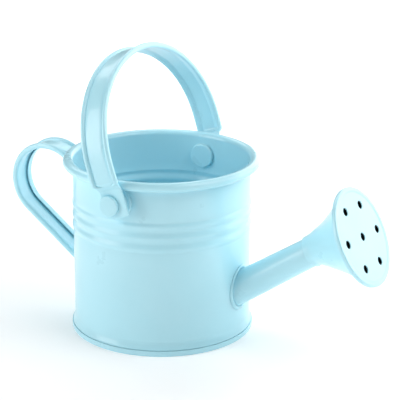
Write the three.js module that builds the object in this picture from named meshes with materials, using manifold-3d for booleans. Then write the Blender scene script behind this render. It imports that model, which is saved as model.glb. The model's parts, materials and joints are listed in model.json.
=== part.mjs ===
// Small enamelled sheet-metal watering can. Millimetres, +Z up, spout towards +X, rear handle towards -X.
// The origin is the centre of the base on the standing plane, and the bail turns on rivets at -Y and +Y.
import * as THREE from 'three';
import { mergeVertices } from 'three/addons/utils/BufferGeometryUtils.js';
import Module from 'manifold-3d';

const wasm = await Module();
wasm.setup();

// Sheet, clearances and facets
const SHEET = 0.6;
const GAP = 0.3;
const ROUND = 48;

// Body wall
const WALL_R = 50;
const HEIGHT = 100.5;
const RIM_HALF_WIDTH = 2.95;
const RIM_HALF_HEIGHT = 2.57;
const RIB_TOP_Z = 74.5;
const RIB_PITCH = 6.4;
const RIB_COUNT = 3;
const RIB_DEPTH = 0.45;
const FLARE_TOP_Z = 8;
const FLARE_R = 51.1;

// Base panel with its crimped foot hem
const FOOT_R = 51.7;
const HEM_TOP_Z = 3.3;
const BASE_RECESS = 1.2;

// Bail pivots
const PIVOT_Z = 87.2;
const SHANK_R = 2;
const RIVET_HEAD_R = 5.7;
const RIVET_HEAD_H = 2.2;
const CLINCH_R = 5.5;
const CLINCH_H = 0.9;
const WASHER_R = 7.2;
const WASHER_T = 0.9;
const SPACER_FLANGE_R = 9.3;
const SPACER_STEP_R = 7;
const SPACER_FLANGE_T = 1.5;

// Strap stock of both handles: a web between two rolled edges
const STRAP_W = 16.5;
const STRAP_WEB = 0.8;
const ROLL_W = 3.9;
const ROLL_OUT = 1.15;
const ROLL_IN = 1.4;

// Bail handle, in its own plane with the pivot as origin
const BAIL_LEAN = THREE.MathUtils.degToRad(17.7);
const BAIL_OFFSET = 3;
const ARCH_CENTRE = 22;
const ARCH_HALF_WIDTH = 60.5;
const ARCH_RISE = 51.9;
const LUG_W = 14.1;
const CREASE = 10.8;
const LUG_BOTTOM = -7.3;
const LUG_CORNER = 1.2;
const LUG_MID_Y = 56.5;
const LUG_SPLAY = THREE.MathUtils.degToRad(0.8);

// Rear handle, in the XZ plane
const LOOP_X = -72.3;
const LOOP_Z = 75.3;
const LOOP_R = 21.9;
const LOOP_START = THREE.MathUtils.degToRad(50);
const RETURN_SLOPE = THREE.MathUtils.degToRad(38);
const UPPER_TAB_Z = 78.2;
const LOWER_TAB = 10;
const TAB_BEND_R = 4;

// Spout tube
const SPOUT_Z = 30.3;
const SPOUT_RISE = THREE.MathUtils.degToRad(33.9);
const SPOUT_LENGTH = 51.5;
const SPOUT_ROOT_R = 9;
const SPOUT_END_R = 8.05;
const ROOT_FLANGE = 2.1;

// Rose
const ROSE_X = 122.6;
const ROSE_Z = 72.7;
const ROSE_TILT = THREE.MathUtils.degToRad(25.3);
const ROSE_NECK_R = 8.95;
const ROSE_CONE_R = 26.5;
const ROSE_FLARE = 0.4;
const ROSE_NECK_LENGTH = 3;
const ROSE_PLATE_R = 27.6;
const ROSE_SKIRT = 2.2;
const SPRAY_HOLE_R = 1.95;
const SPRAY_RING_R = 18.5;
const SPRAY_RING_HOLES = 6;
const SPRAY_TURN = THREE.MathUtils.degToRad(-4);

const PAINT = { color: 0x9fd6e2, roughness: 0.32, metalness: 0.0 };

// Solids

function toSolid(geometry) {
  const bare = geometry.clone();
  bare.deleteAttribute('normal');
  bare.deleteAttribute('uv');
  const merged = mergeVertices(bare, 1e-4);
  return new wasm.Manifold(new wasm.Mesh({
    numProp: 3,
    vertProperties: new Float32Array(merged.attributes.position.array),
    triVerts: new Uint32Array(merged.index.array),
  }));
}

function toGeometry(solid) {
  const result = solid.getMesh();
  const geometry = new THREE.BufferGeometry();
  geometry.setAttribute('position', new THREE.BufferAttribute(new Float32Array(result.vertProperties), 3));
  geometry.setIndex(new THREE.BufferAttribute(new Uint32Array(result.triVerts), 1));
  geometry.computeVertexNormals();
  return geometry;
}

function cut(geometry, ...tools) {
  let solid = toSolid(geometry);
  for (const tool of tools) solid = solid.subtract(toSolid(tool));
  return toGeometry(solid);
}

// A rod along +Z from the start height, for cutting round holes and the curve of the wall.
function rod(radius, length, start = 0, sides = 24) {
  return new THREE.CylinderGeometry(radius, radius, length, sides)
    .rotateX(Math.PI / 2)
    .translate(0, 0, start + length / 2);
}

// Revolves [radius, height] pairs round +Z. The outline is closed unless it starts and ends on the axis.
function revolve(outline, segments = ROUND) {
  const points = outline.map(([r, z]) => new THREE.Vector2(r, z));
  if (outline[0][0] > 0) points.push(points[0].clone());
  return new THREE.LatheGeometry(points, segments).rotateX(Math.PI / 2);
}

// The outline of a bent sheet: its centre line given as [radius, height] pairs, with half the sheet each side.
function sheetOutline(line, thickness = SHEET) {
  const points = line.map(([r, z]) => new THREE.Vector2(r, z));
  const right = [];
  const left = [];
  points.forEach((point, i) => {
    const before = points[Math.max(i - 1, 0)];
    const after = points[Math.min(i + 1, points.length - 1)];
    const into = point.clone().sub(before).normalize();
    const out = after.clone().sub(point).normalize();
    const along = into.add(out).normalize();
    const side = new THREE.Vector2(along.y, -along.x);
    const bend = i === 0 || i === points.length - 1 ? 1 : side.dot(new THREE.Vector2(out.y, -out.x));
    side.multiplyScalar(thickness / 2 / bend);
    right.push([point.x + side.x, point.y + side.y]);
    left.push([point.x - side.x, point.y - side.y]);
  });
  return right.concat(left.reverse()).map(([r, z]) => [Math.max(r, 0), z]);
}

// Skins a row of closed rings with the same even number of points. Open rows get a cap at each end, built as a
// ladder between the two halves of the ring, and a looped row closes on its own first ring.
function skin(rings, looped = false) {
  const count = rings[0].length;
  const index = [];
  const quad = (a, b, c, d) => index.push(a, b, c, a, c, d);
  const rows = looped ? rings.length : rings.length - 1;
  for (let i = 0; i < rows; i += 1) {
    const here = i * count;
    const next = ((i + 1) % rings.length) * count;
    for (let j = 0; j < count; j += 1) {
      const after = (j + 1) % count;
      quad(here + j, here + after, next + after, next + j);
    }
  }
  if (!looped) {
    const last = (rings.length - 1) * count;
    for (let j = 0; j < count / 2 - 1; j += 1) {
      const across = count - 1 - j;
      quad(j, across, across - 1, j + 1);
      quad(last + j, last + j + 1, last + across - 1, last + across);
    }
  }
  const positions = rings.flat().flatMap((p) => [p.x, p.y, p.z]);
  const geometry = new THREE.BufferGeometry();
  geometry.setAttribute('position', new THREE.Float32BufferAttribute(positions, 3));
  geometry.setIndex(index);
  if (toSolid(geometry).volume() < 0) geometry.setIndex(index.reverse());
  geometry.computeVertexNormals();
  return geometry;
}

// Strap stock

// Height of the rolled edge above the web at a distance from the strap's middle, from 0 to 1.
function rollHeight(across, width) {
  const fromMiddle = (Math.abs(across) - (width - ROLL_W) / 2) / (ROLL_W / 2);
  return Math.abs(fromMiddle) < 1 ? Math.sqrt(1 - fromMiddle * fromMiddle) : 0;
}

// Cross-section of the strap: across is its width, and up faces out of the handle's curve.
// roll fades the rolled edges out, and curve bends the section to lie on the can's wall.
function strapSection({ width = STRAP_W, roll = 1, curve = 0 }) {
  const steps = [-1, -0.8, -0.35, 0.2, 0.7, 1];
  const edge = steps.map((s) => (width - ROLL_W) / 2 + (s * ROLL_W) / 2);
  const across = [...edge.slice().reverse().map((a) => -a), ...edge];
  const side = (sign, depth) => across.map((a) => {
    const bend = (curve * a * a) / (2 * WALL_R);
    return new THREE.Vector2(a, sign * (STRAP_WEB / 2 + roll * depth * rollHeight(a, width)) + bend);
  });
  return side(1, ROLL_OUT).concat(side(-1, ROLL_IN).reverse());
}

// Sweeps strap sections along stations of { at: [forward, up], ...section }. The path lies in a plane,
// place() puts a point of that plane and a distance across it in space, and the curve's outside is on
// the right of the direction of travel.
function strap(stations, place) {
  const points = stations.map(({ at }) => new THREE.Vector2(at[0], at[1]));
  const sections = stations.map(strapSection);
  const rings = points.map((point, i) => {
    const before = points[Math.max(i - 1, 0)];
    const after = points[Math.min(i + 1, points.length - 1)];
    const along = after.clone().sub(before).normalize();
    return sections[i].map(({ x, y }) => place(point.x + along.y * y, point.y - along.x * y, x));
  });
  return skin(rings);
}

// Pieces

// Straight sheet wall with three ribs, a flared foot and an open outward curl as its rim.
function bodyWall() {
  const middle = WALL_R - SHEET / 2;
  const flare = FLARE_R - SHEET / 2;
  const hidden = middle + 0.45;
  const line = [[hidden, 1.1], [hidden, HEM_TOP_Z - 0.2], [flare, HEM_TOP_Z + 0.6], [flare, HEM_TOP_Z + 1.2]];
  line.push([middle + 0.35, 6.4], [middle, FLARE_TOP_Z]);
  const ribBottom = RIB_TOP_Z - (RIB_COUNT - 0.5) * RIB_PITCH;
  const perRib = 4;
  for (let i = 0; i <= RIB_COUNT * perRib; i += 1) {
    const turn = i / perRib;
    const swell = i === 0 || i === RIB_COUNT * perRib ? 0 : -RIB_DEPTH * Math.cos(2 * Math.PI * turn);
    line.push([middle + swell, ribBottom + turn * RIB_PITCH]);
  }
  const curlX = WALL_R - SHEET + RIM_HALF_WIDTH;
  const curlZ = HEIGHT - RIM_HALF_HEIGHT;
  for (let degrees = 180; degrees >= -125; degrees -= 38) {
    const turn = THREE.MathUtils.degToRad(degrees);
    const across = (RIM_HALF_WIDTH - SHEET / 2) * Math.cos(turn);
    const up = (RIM_HALF_HEIGHT - SHEET / 2) * Math.sin(turn);
    line.push([curlX + across, curlZ + up]);
  }
  const rivetHole = rod(SHANK_R + GAP, 4 * WALL_R, -2 * WALL_R).rotateX(Math.PI / 2).translate(0, 0, PIVOT_Z);
  const spoutHole = alongSpout(rod(SPOUT_ROOT_R - SHEET - 0.2, 24, -16, 32));
  return cut(revolve(sheetOutline(line)), rivetHole, spoutHole);
}

// Recessed disc whose edge turns down to the foot and up round the bottom of the wall.
function basePanel() {
  const plate = BASE_RECESS + SHEET / 2;
  const outside = FOOT_R - SHEET / 2;
  const line = [[0, plate], [48.3, plate], [48.9, plate - 0.3], [49.2, 0.6], [49.8, SHEET / 2]];
  line.push([outside - 0.5, SHEET / 2], [outside - 0.15, 0.45], [outside, 0.8], [outside, HEM_TOP_Z]);
  const outline = sheetOutline(line);
  return revolve(outline);
}

// Turns a piece made along +Z so that +Z points out of the can at the -Y or +Y pivot.
function atPivot(geometry, side) {
  return geometry.rotateX((-side * Math.PI) / 2).translate(0, 0, PIVOT_Z);
}

const LUG_OUTER_Y = LUG_MID_Y + STRAP_WEB / 2;
const LUG_INNER_Y = LUG_MID_Y - STRAP_WEB / 2;
const WASHER_INNER_Y = WALL_R - SHEET - GAP - WASHER_T;

// Rivet with a broad rounded head outside and a low clinched head inside.
function bailRivet(side) {
  const head = LUG_OUTER_Y + GAP;
  const top = head + RIVET_HEAD_H;
  const clinch = WASHER_INNER_Y - GAP;
  const outline = [[0, clinch - CLINCH_H], [CLINCH_R - 1, clinch - CLINCH_H], [CLINCH_R, clinch - 0.35]];
  outline.push([CLINCH_R, clinch], [SHANK_R, clinch], [SHANK_R, head], [RIVET_HEAD_R, head]);
  outline.push([RIVET_HEAD_R, top - 1.2], [RIVET_HEAD_R - 0.35, top - 0.5], [RIVET_HEAD_R - 1.1, top - 0.1]);
  outline.push([0, top]);
  return atPivot(revolve(outline, 32), side);
}

// Stepped standoff that keeps the lug clear of the rim. Its flange follows the wall and is flat under the curl.
function pivotSpacer(side) {
  const step = WALL_R + GAP + SPACER_FLANGE_T;
  const top = LUG_INNER_Y - GAP;
  const outline = [[SHANK_R + GAP, 45], [SPACER_FLANGE_R, 45], [SPACER_FLANGE_R, step - 0.5]];
  outline.push([SPACER_FLANGE_R - 0.6, step], [SPACER_STEP_R + 0.8, step], [SPACER_STEP_R, step + 0.9]);
  outline.push([SPACER_STEP_R, top - 0.5], [SPACER_STEP_R - 0.5, top], [SHANK_R + GAP, top]);
  const underRim = rod(2 * WALL_R, 20, HEIGHT - 2 * RIM_HALF_HEIGHT - GAP);
  return cut(atPivot(revolve(outline, 32), side), rod(WALL_R + GAP, 2 * HEIGHT, 0, 2 * ROUND), underRim);
}

// Washer inside the can, dished to the wall.
function backingWasher(side) {
  const outline = [[SHANK_R + GAP, WASHER_INNER_Y], [WASHER_R - 0.4, WASHER_INNER_Y]];
  outline.push([WASHER_R, WASHER_INNER_Y + 0.4], [WASHER_R, WALL_R], [SHANK_R + GAP, WALL_R]);
  const washer = toSolid(atPivot(revolve(outline, 32), side));
  const inside = toSolid(rod(WALL_R - SHEET - GAP, 2 * HEIGHT, 0, 2 * ROUND));
  return toGeometry(washer.intersect(inside));
}

// One strap from lug to lug. Each lug is flat, and the rolled edges end at a crease above it.
function bailHandle() {
  const lean = Math.tan(LUG_SPLAY);
  const lugAt = (up) => [LUG_MID_Y + up * lean, up];
  const leg = [0, 30, 60, 90].map((degrees) => {
    const turn = THREE.MathUtils.degToRad(degrees);
    const up = LUG_BOTTOM + LUG_CORNER * (1 - Math.cos(turn));
    return { at: lugAt(up), width: LUG_W - 2 * LUG_CORNER * (1 - Math.sin(turn)), roll: 0 };
  });
  leg.push({ at: lugAt(CREASE - 4), width: LUG_W, roll: 0 });
  leg.push({ at: [LUG_MID_Y + 0.8, CREASE - 2], width: LUG_W, roll: 0 });
  leg.push({ at: [LUG_MID_Y + 2.3, CREASE], width: LUG_W, roll: 0 });
  leg.push({ at: [LUG_MID_Y + 3.2, CREASE + 1], roll: 0.8 });
  leg.push({ at: [LUG_MID_Y + 3.8, CREASE + 2.4] }, { at: [ARCH_HALF_WIDTH, CREASE + 6] });
  const arch = [];
  const steps = 30;
  for (let i = 0; i <= steps; i += 1) {
    const angle = (Math.PI * i) / steps;
    arch.push({ at: [ARCH_HALF_WIDTH * Math.cos(angle), ARCH_CENTRE + ARCH_RISE * Math.sin(angle)] });
  }
  const otherLeg = leg.map((station) => ({ ...station, at: [-station.at[0], station.at[1]] })).reverse();
  const place = (y, z, across) => new THREE.Vector3(BAIL_OFFSET + across, y, z);
  const body = strap([...leg, ...arch, ...otherLeg], place);
  const hole = rod(SHANK_R + GAP, 160, -80).rotateX(Math.PI / 2);
  return cut(body, hole);
}

// One strap from a tab on the wall, round the hand loop and back down to a lower tab. Both tabs lie on the wall.
function rearHandle() {
  const tabX = -(WALL_R + GAP + STRAP_WEB / 2);
  const around = (x, z, radius, angle) => [x + radius * Math.cos(angle), z + radius * Math.sin(angle)];
  const narrow = STRAP_W - 4;
  const straight = (tabX - LOOP_X - LOOP_R * Math.cos(LOOP_START)) / Math.sin(LOOP_START);
  const [startX, startZ] = around(LOOP_X, LOOP_Z, LOOP_R, LOOP_START);
  const upperBend = TAB_BEND_R * Math.tan(LOOP_START / 2);
  const upperCorner = startZ - straight * Math.cos(LOOP_START);
  const stations = [
    { at: [tabX, UPPER_TAB_Z], width: narrow, roll: 0, curve: 1 },
    { at: [tabX, UPPER_TAB_Z + 1.5], roll: 0, curve: 1 },
  ];
  for (let i = 0; i <= 3; i += 1) {
    const at = around(tabX - TAB_BEND_R, upperCorner - upperBend, TAB_BEND_R, (LOOP_START * i) / 3);
    stations.push({ at, roll: i < 3 ? 0 : 0.4, curve: 1 - i / 3 });
  }
  stations.push({ at: [(startX + tabX - 2) / 2, (startZ + upperCorner + 1.5) / 2] });
  const steps = 24;
  const end = 1.5 * Math.PI - RETURN_SLOPE;
  for (let i = 0; i <= steps; i += 1) {
    stations.push({ at: around(LOOP_X, LOOP_Z, LOOP_R, LOOP_START + ((end - LOOP_START) * i) / steps) });
  }
  const [endX, endZ] = stations[stations.length - 1].at;
  const reach = (tabX - endX) / Math.cos(RETURN_SLOPE);
  const lowerTurn = Math.PI / 2 - RETURN_SLOPE;
  const lowerBend = TAB_BEND_R * Math.tan(lowerTurn / 2);
  for (const left of [0.75 * reach, 0.5 * reach, 0.3 * reach, lowerBend + 5, lowerBend + 2]) {
    const along = reach - left;
    const at = [endX + along * Math.cos(RETURN_SLOPE), endZ - along * Math.sin(RETURN_SLOPE)];
    stations.push({ at, roll: left < lowerBend + 3 ? 0.4 : 1 });
  }
  const bendZ = endZ - reach * Math.sin(RETURN_SLOPE) - lowerBend;
  for (let i = 0; i <= 3; i += 1) {
    const at = around(tabX - TAB_BEND_R, bendZ, TAB_BEND_R, lowerTurn * (1 - i / 3));
    stations.push({ at, roll: 0, curve: -(i / 3) });
  }
  stations.push({ at: [tabX, bendZ - LOWER_TAB + 1.5], roll: 0, curve: -1 });
  stations.push({ at: [tabX, bendZ - LOWER_TAB], width: narrow, roll: 0, curve: -1 });
  return strap(stations, (x, z, across) => new THREE.Vector3(x, across, z));
}

// Turns a piece made along +Z onto the spout's axis, with 0 where that axis leaves the wall.
function alongSpout(geometry) {
  return geometry.rotateY(Math.PI / 2 - SPOUT_RISE).translate(WALL_R, 0, SPOUT_Z);
}

// Tapered tube with a stepped flange round its root that follows the wall.
function spoutTube() {
  const taper = (SPOUT_ROOT_R - SPOUT_END_R) / SPOUT_LENGTH;
  const radiusAt = (s) => SPOUT_ROOT_R - taper * s;
  const inner = -14;
  const outer = SPOUT_LENGTH + 2.2;
  const outline = [[radiusAt(inner), inner], [radiusAt(outer), outer]];
  outline.push([radiusAt(outer) - SHEET, outer], [radiusAt(inner) - SHEET, inner]);
  const bore = toSolid(alongSpout(rod(SPOUT_ROOT_R - SHEET, 60, -20, 32)));
  const wallCylinder = (extra) => toSolid(rod(WALL_R + GAP + extra, 2 * HEIGHT, -HEIGHT / 2, 2 * ROUND));
  let solid = toSolid(alongSpout(revolve(outline, 32)));
  for (const [wider, height] of [[ROOT_FLANGE, 0.7], [ROOT_FLANGE / 2, 1.4]]) {
    const disc = toSolid(alongSpout(rod(SPOUT_ROOT_R + wider, 34, -14, 32)));
    solid = solid.add(disc.intersect(wallCylinder(height)).subtract(bore));
  }
  return toGeometry(solid.subtract(wallCylinder(0)));
}

const spoutAxis = new THREE.Vector3(Math.cos(SPOUT_RISE), 0, Math.sin(SPOUT_RISE));
const roseAxis = new THREE.Vector3(Math.cos(ROSE_TILT), 0, Math.sin(ROSE_TILT));
const roseFace = new THREE.Vector3(ROSE_X, 0, ROSE_Z);

// A ring of points round an axis that lies in the XZ plane.
function ring(centre, axis, radius, sides = 40) {
  const side = new THREE.Vector3(0, 1, 0);
  const up = axis.clone().cross(side);
  return Array.from({ length: sides }, (_, i) => {
    const turn = (2 * Math.PI * i) / sides;
    return centre.clone()
      .addScaledVector(side, radius * Math.cos(turn))
      .addScaledVector(up, radius * Math.sin(turn));
  });
}

// Trumpet from a short neck over the spout's end to the rim that holds the plate.
function roseCone() {
  const neck = new THREE.Vector3(WALL_R, 0, SPOUT_Z).addScaledVector(spoutAxis, SPOUT_LENGTH);
  const bend = neck.clone().addScaledVector(spoutAxis, ROSE_NECK_LENGTH);
  const rim = roseFace.clone().addScaledVector(roseAxis, -SHEET - GAP);
  const rows = [[neck, spoutAxis, ROSE_NECK_R], [bend, spoutAxis, ROSE_NECK_R + 0.2]];
  const steps = 7;
  for (let i = 1; i <= steps; i += 1) {
    const t = i / steps;
    const grown = (1 - ROSE_FLARE) * t + ROSE_FLARE * t * t;
    const axis = spoutAxis.clone().lerp(roseAxis, Math.min(3 * t, 1)).normalize();
    rows.push([bend.clone().lerp(rim, t), axis, ROSE_NECK_R + (ROSE_CONE_R - ROSE_NECK_R) * grown]);
  }
  const outside = rows.map(([centre, axis, radius]) => ring(centre, axis, radius));
  const inside = rows.map(([centre, axis, radius]) => ring(centre, axis, radius - SHEET)).reverse();
  return skin([...outside, ...inside], true);
}

// Perforated plate with a shallow raised border and a skirt round the cone's rim.
function rosePlate() {
  const edge = ROSE_PLATE_R - SHEET / 2;
  const low = -SHEET / 2 - 0.3;
  const line = [[0, low], [edge - 2.4, low], [edge - 1.6, -SHEET / 2], [edge - 0.6, -SHEET / 2]];
  line.push([edge - 0.15, -SHEET / 2 - 0.2], [edge, -SHEET / 2 - 0.6], [edge, -ROSE_SKIRT]);
  const plate = revolve(sheetOutline(line), 40);
  const holes = [rod(SPRAY_HOLE_R, 6, -3, 16)];
  for (let i = 0; i < SPRAY_RING_HOLES; i += 1) {
    const turn = SPRAY_TURN + (2 * Math.PI * i) / SPRAY_RING_HOLES;
    holes.push(rod(SPRAY_HOLE_R, 6, -3, 16)
      .translate(-SPRAY_RING_R * Math.sin(turn), SPRAY_RING_R * Math.cos(turn), 0));
  }
  return cut(plate, ...holes).rotateY(Math.PI / 2 - ROSE_TILT).translate(ROSE_X, 0, ROSE_Z);
}

// Assembly

function piece(name, geometry) {
  const mesh = new THREE.Mesh(geometry, new THREE.MeshStandardMaterial(PAINT));
  mesh.name = name;
  return mesh;
}

const can = new THREE.Group();
can.add(piece('body_wall', bodyWall()), piece('base_panel', basePanel()));
for (const [label, side] of [['right', -1], ['left', 1]]) {
  can.add(piece(`bail_rivet_${label}`, bailRivet(side)));
  can.add(piece(`pivot_spacer_${label}`, pivotSpacer(side)));
  can.add(piece(`backing_washer_${label}`, backingWasher(side)));
}
can.add(piece('rear_handle', rearHandle()));

const pouring = new THREE.Group();
pouring.add(piece('spout_tube', spoutTube()), piece('rose_cone', roseCone()), piece('rose_plate', rosePlate()));
can.add(pouring);

const bail = new THREE.Group();
bail.position.z = PIVOT_Z;
bail.rotation.y = -BAIL_LEAN;
bail.add(piece('bail_handle', bailHandle()));
can.add(bail);

export default can;
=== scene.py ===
import json
from functools import partial
from math import cos, pi, radians, sin, sqrt, tan

import bmesh
import bpy
from bpy.props import FloatProperty, FloatVectorProperty, IntProperty, PointerProperty
from bpy.types import Operator, Panel, PropertyGroup
from mathutils import Matrix, Vector


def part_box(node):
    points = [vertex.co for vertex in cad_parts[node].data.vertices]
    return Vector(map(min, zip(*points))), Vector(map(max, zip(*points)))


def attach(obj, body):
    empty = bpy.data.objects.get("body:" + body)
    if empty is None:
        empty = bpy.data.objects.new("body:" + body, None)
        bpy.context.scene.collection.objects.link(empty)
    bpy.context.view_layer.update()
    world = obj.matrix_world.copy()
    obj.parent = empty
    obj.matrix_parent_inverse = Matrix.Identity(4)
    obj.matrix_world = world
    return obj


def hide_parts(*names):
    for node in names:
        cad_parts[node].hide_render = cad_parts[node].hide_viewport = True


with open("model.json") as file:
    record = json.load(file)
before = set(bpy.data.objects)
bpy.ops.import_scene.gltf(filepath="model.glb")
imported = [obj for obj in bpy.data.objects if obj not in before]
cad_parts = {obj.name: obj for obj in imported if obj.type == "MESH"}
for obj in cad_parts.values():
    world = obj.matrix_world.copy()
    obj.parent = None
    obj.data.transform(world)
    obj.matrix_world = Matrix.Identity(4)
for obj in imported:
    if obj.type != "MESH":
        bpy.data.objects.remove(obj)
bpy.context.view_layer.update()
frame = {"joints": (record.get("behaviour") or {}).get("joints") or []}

bl_info = {
    "name": "Enamelled Watering Can",
    "version": (1, 0, 0),
    "blender": (4, 5, 0),
    "location": "3D View > Sidebar > Watering Can",
    "description": "Builds the sheet-metal pieces of a small enamelled watering can on its packed frame",
    "category": "Object",
}

MM = 0.001
RIM_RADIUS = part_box("body_wall")[1][0]
WALL_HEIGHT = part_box("body_wall")[1][2]
WALL_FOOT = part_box("body_wall")[0][2]
FOOT_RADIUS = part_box("base_panel")[1][0]
HEM_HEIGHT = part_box("base_panel")[1][2]
PIVOT = Vector(frame["joints"][0]["pos_m"])
STRAP_WIDTH = 2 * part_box("rear_handle")[1][1]
HANDLE_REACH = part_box("rear_handle")[0][0]
HANDLE_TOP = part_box("rear_handle")[1][2]
CLINCH_REACH = -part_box("bail_rivet_right")[1][1]
HEAD_REACH = -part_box("bail_rivet_right")[0][1]
HEAD_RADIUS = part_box("bail_rivet_right")[1][0]
SPACER_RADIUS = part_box("pivot_spacer_right")[1][0]
WASHER_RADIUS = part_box("backing_washer_right")[1][0]

# Clearance between pieces that touch, as thick as the paint
GAP = 0.12 * MM
TAB_CORNER = 2 * MM
STREAK = 0.012 * MM
# Slope of the bail's lugs away from the can
LUG_SPLAY = 0.014
SHANK_RADIUS = 2 * MM
BORE_RADIUS = 2.3 * MM
CLINCH_THICKNESS = 1.15 * MM
FLANGE_THICKNESS = 1.5 * MM
# Round pieces have crisp edges only where they turn by more than this many degrees.
ROUND_CRISP = 50
# What the lamps and the camera look at
LAMP_AIM = Vector((0, 0, 0.06))
CAMERA_AIM = Vector((0, 0, 0.05))


def length(name, description, size):
    return FloatProperty(name=name, description=description, default=size * MM, subtype="DISTANCE", unit="LENGTH")


def angle(name, description, degrees):
    return FloatProperty(name=name, description=description, default=radians(degrees), subtype="ANGLE")


def settings(*names):
    """The scene's settings of those names"""
    return [getattr(bpy.context.scene, "can_" + name) for name in names]


def number(name, description, default, **limits):
    return FloatProperty(name=name, description=description, default=default, **limits)


def colour(name, description, default):
    return FloatVectorProperty(
        name=name, description=description, default=default, size=3, subtype="COLOR", min=0, max=1)


class CanBodySizes(PropertyGroup):
    """Sizes of the wall and the base"""

    radius: length("Wall radius", "Outer radius of the straight wall", 50)
    sheet: length("Sheet", "Thickness of the body's sheet", 0.6)
    curl_half_width: length("Curl half width", "Half of the rim curl's width", 2.95)
    curl_half_height: length("Curl half height", "Half of the rim curl's height", 2.57)
    curl_end: angle("Curl end", "Where the rim curl's free edge stops, below the horizontal", 150)
    rib_count: IntProperty(name="Ribs", description="How many ribs ring the wall", default=3, min=0)
    rib_pitch: length("Rib pitch", "Height from rib to rib", 6.4)
    rib_depth: length("Rib depth", "Half of the height from valley to crest", 0.45)
    rib_top: length("Top rib", "Height of the top rib's crest", 74.5)
    flare_radius: length("Flare radius", "Outer radius of the wall just above the foot hem", 51.1)
    flare_top: length("Flare top", "Height where the foot flare starts", 8)
    base_recess: length("Base recess", "Height of the base panel's underside", 1.2)
    segments: IntProperty(name="Segments", description="Facets round the body", default=192, min=24)


class StrapSizes(PropertyGroup):
    """Sizes of the rolled strap that both handles are made of"""

    web: length("Web", "Thickness of the strap's web", 0.8)
    bead_width: length("Bead width", "Width of the round bead along each edge", 2.7)
    roll_height: length("Roll height", "Height of each rolled edge through the strap", 3.3)
    roll_drop: length("Roll drop", "How far the beads' middle lies inside the web's middle", 0.12)
    hem: length("Hem", "Width of the hem on the inside, from the edge to where it stops", 4.5)
    curl_sheet: length("Curl sheet", "Thickness of the sheet in the rolled edge", 0.5)
    bail_gap: length("Bail hem gap", "Gap between the bail's web and the free edge of its front hem", 0.1)
    bail_back_gap: length("Bail back hem gap", "The same at the back hem. Below 0 the hem runs out thin", -0.4)
    handle_gap: length("Handle hem gap", "Gap between the rear handle's web and the free edge of its hems", 1.2)


class BailSizes(PropertyGroup):
    """Sizes of the swinging handle over the mouth"""

    lean: angle("Lean", "How far the bail leans towards the rear handle at rest", 17.7)
    offset: length("Offset", "Distance of the strap's middle in front of the pivot axis", 3)
    arch_centre: length("Arch centre", "Height of the arch's centre over the pivots", 22)
    arch_half_width: length("Arch half width", "Half of the arch's width at the strap's middle", 60.5)
    arch_rise: length("Arch rise", "Height of the arch over its centre", 51.9)
    lug_width: length("Lug width", "Width of the flat lugs", 14.1)
    lug_bottom: length("Lug bottom", "Distance of the lug's end below the pivot", 7.3)
    lug_corner: length("Lug corner", "Radius of the lug's lower corners", 1.2)
    lug_gauge: number("Lug gauge", "Thickness of the lugs as a multiple of the web's", 1.4)
    lug_reach: length("Lug reach", "Distance of the lug's middle from the can's axis", 56.5)
    crease: length("Crease", "Height over the pivot where the rolled edges stop", 10.8)


class RearHandleSizes(PropertyGroup):
    """Sizes of the loop at the back"""

    loop_radius: length("Loop radius", "Radius of the loop at the strap's middle", 21.9)
    loop_start: angle("Loop start", "Direction where the loop leaves the upper leg", 50)
    return_slope: angle("Return slope", "Slope of the straight lower leg", 38)
    bend_radius: length("Tab bend", "Radius of the bends at the tabs", 4)
    upper_tab: length("Upper tab", "Height of the upper tab's lower end", 78.2)
    lower_tab: length("Lower tab", "Length of the lower tab", 10)


class SpoutSizes(PropertyGroup):
    """Sizes of the spout and the rose"""

    root_height: length("Root height", "Height where the spout's axis meets the wall", 30.3)
    rise: angle("Rise", "Slope of the spout's axis", 33.9)
    length: length("Length", "Length of the tube along its axis outside the wall", 51.5)
    root_radius: length("Root radius", "Outer radius of the tube at the wall", 9)
    end_radius: length("End radius", "Outer radius of the tube at the rose", 8.05)
    fillet: length("Solder fillet", "Width of the solder bead at the wall", 1.9)
    rose_face: FloatVectorProperty(
        name="Rose face", description="Centre of the perforated plate's face",
        default=(122.6 * MM, 0, 72.7 * MM), size=3, subtype="TRANSLATION", unit="LENGTH")
    rose_tilt: angle("Rose tilt", "Slope of the rose's axis", 25.3)
    neck_radius: length("Neck radius", "Outer radius of the cone's neck", 8.95)
    neck_length: length("Neck length", "Length of the cone's neck over the tube", 3)
    cone_radius: length("Cone radius", "Outer radius of the cone at the plate", 26.5)
    flare: number("Flare", "Share of the cone's growth that is left to its end", 0.4)
    plate_radius: length("Plate radius", "Outer radius of the perforated plate", 27.6)
    border: length("Border", "Width of the plate's raised border", 2.3)
    hole_radius: length("Hole radius", "Radius of the spray holes", 2.25)
    hole_ring: length("Hole ring", "Radius of the ring of spray holes", 18.5)
    hole_count: IntProperty(name="Holes", description="Spray holes in the ring", default=6, min=1)
    hole_turn: angle("Hole turn", "How far the ring of holes is turned", -4)


class EnamelLook(PropertyGroup):
    """Colour and surface of the enamel"""

    base: colour("Enamel", "Main colour of the enamel", (0.51, 0.87, 0.98))
    deep: colour("Deep enamel", "Colour where the enamel is thicker", (0.49, 0.86, 0.97))
    roughness: number("Roughness", "Middle roughness of the enamel", 0.3, min=0, max=1)
    coat: number("Coat", "Weight of the clear gloss over the enamel", 0.4, min=0, max=1)
    peel: length("Orange peel", "Height of the fine unevenness of the enamel", 0.003)
    peel_size: length("Peel size", "Size of the fine unevenness", 2.0)
    wave: length("Waviness", "Height of the slow unevenness of the sheet", 0.05)
    wave_size: length("Wave size", "Size of the slow unevenness", 16)


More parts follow.
